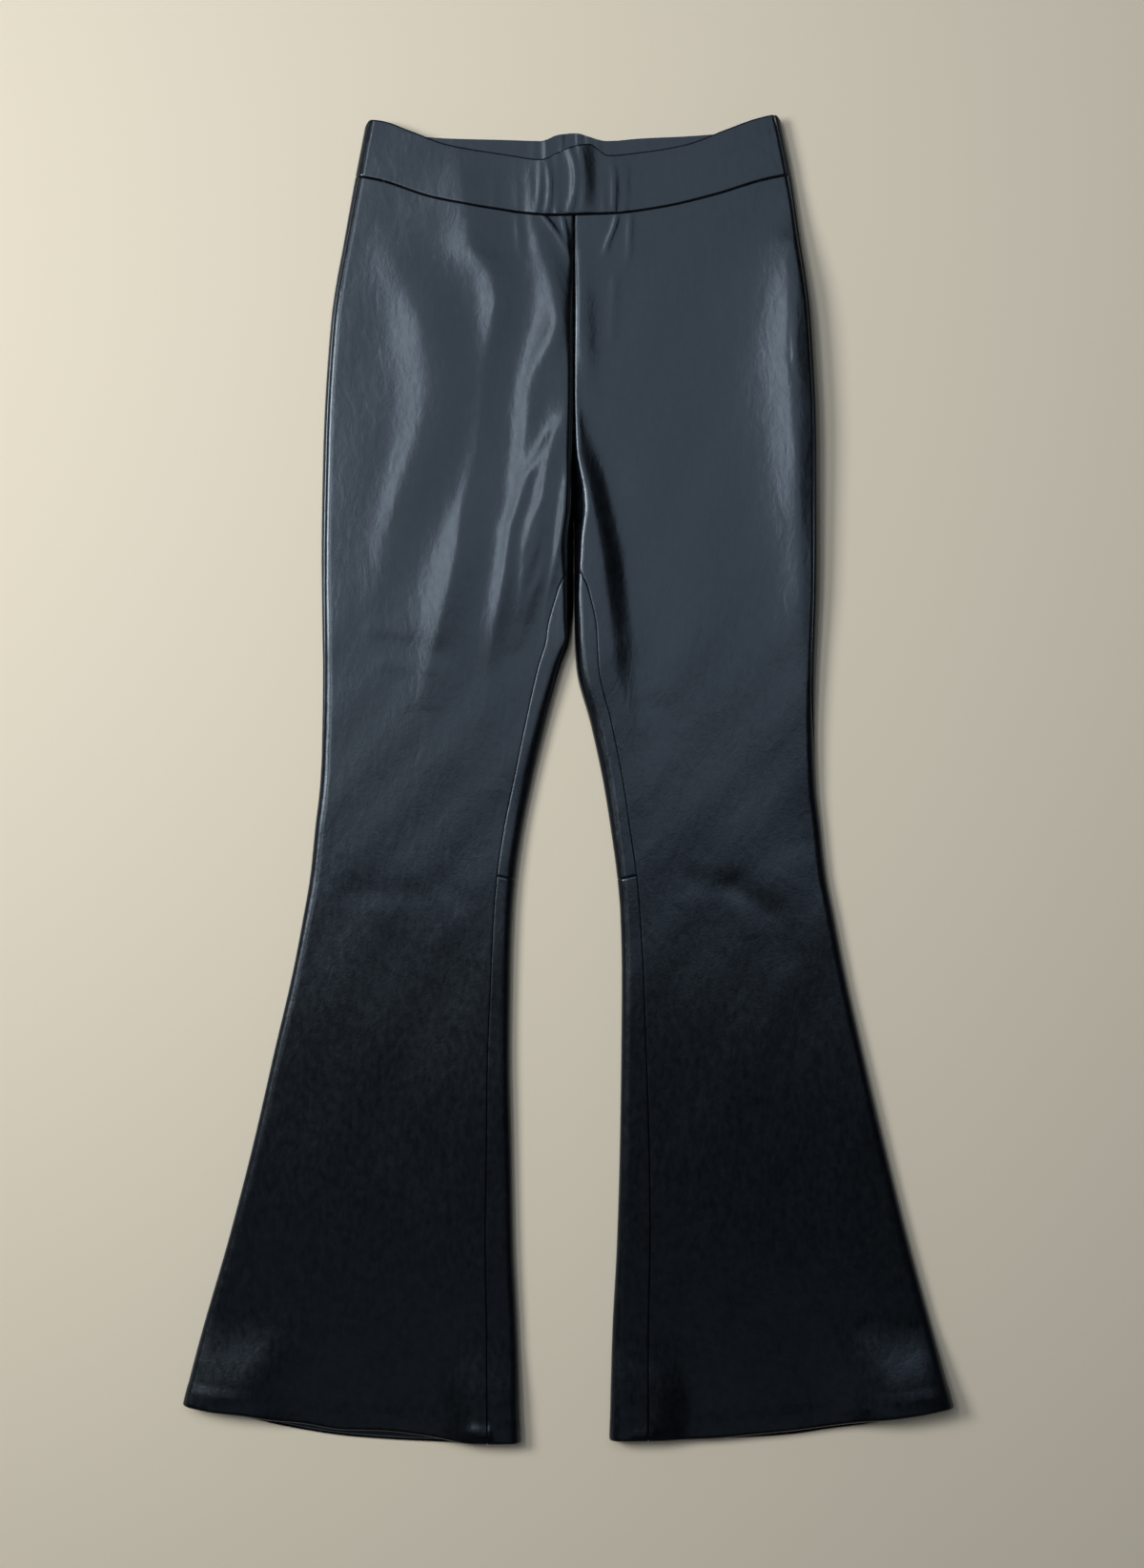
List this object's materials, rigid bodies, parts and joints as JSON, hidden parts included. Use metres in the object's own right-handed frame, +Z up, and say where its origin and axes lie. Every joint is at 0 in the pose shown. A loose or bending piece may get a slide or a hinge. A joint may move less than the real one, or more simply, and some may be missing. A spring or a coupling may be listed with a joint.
{
  "type": "leather trousers",
  "caption": "Flared pull-on leather trousers laid flat, front up, with a gathered waistband and wide hems.",
  "frame": {"origin": "on the surface they lie on, under the middle of the garment's bounding box", "axes": "+X to the wearer's left, +Y along the legs to the waist, +Z up from the surface, out of the front"},
  "size_m": [0.6164, 1.0626, 0.0207],
  "materials": {
    "leather": "smooth coated leather with a soft sheen, dark navy",
    "thread": "matt sewing thread, dark navy"
  },
  "bodies": {
    "root": {"waistband_front": "leather", "waistband_back": "leather", "front_right": "leather", "front_left": "leather", "back_upper_right": "leather", "back_upper_left": "leather", "back_lower_right": "leather", "back_lower_left": "leather"}
  },
  "joints": []
}
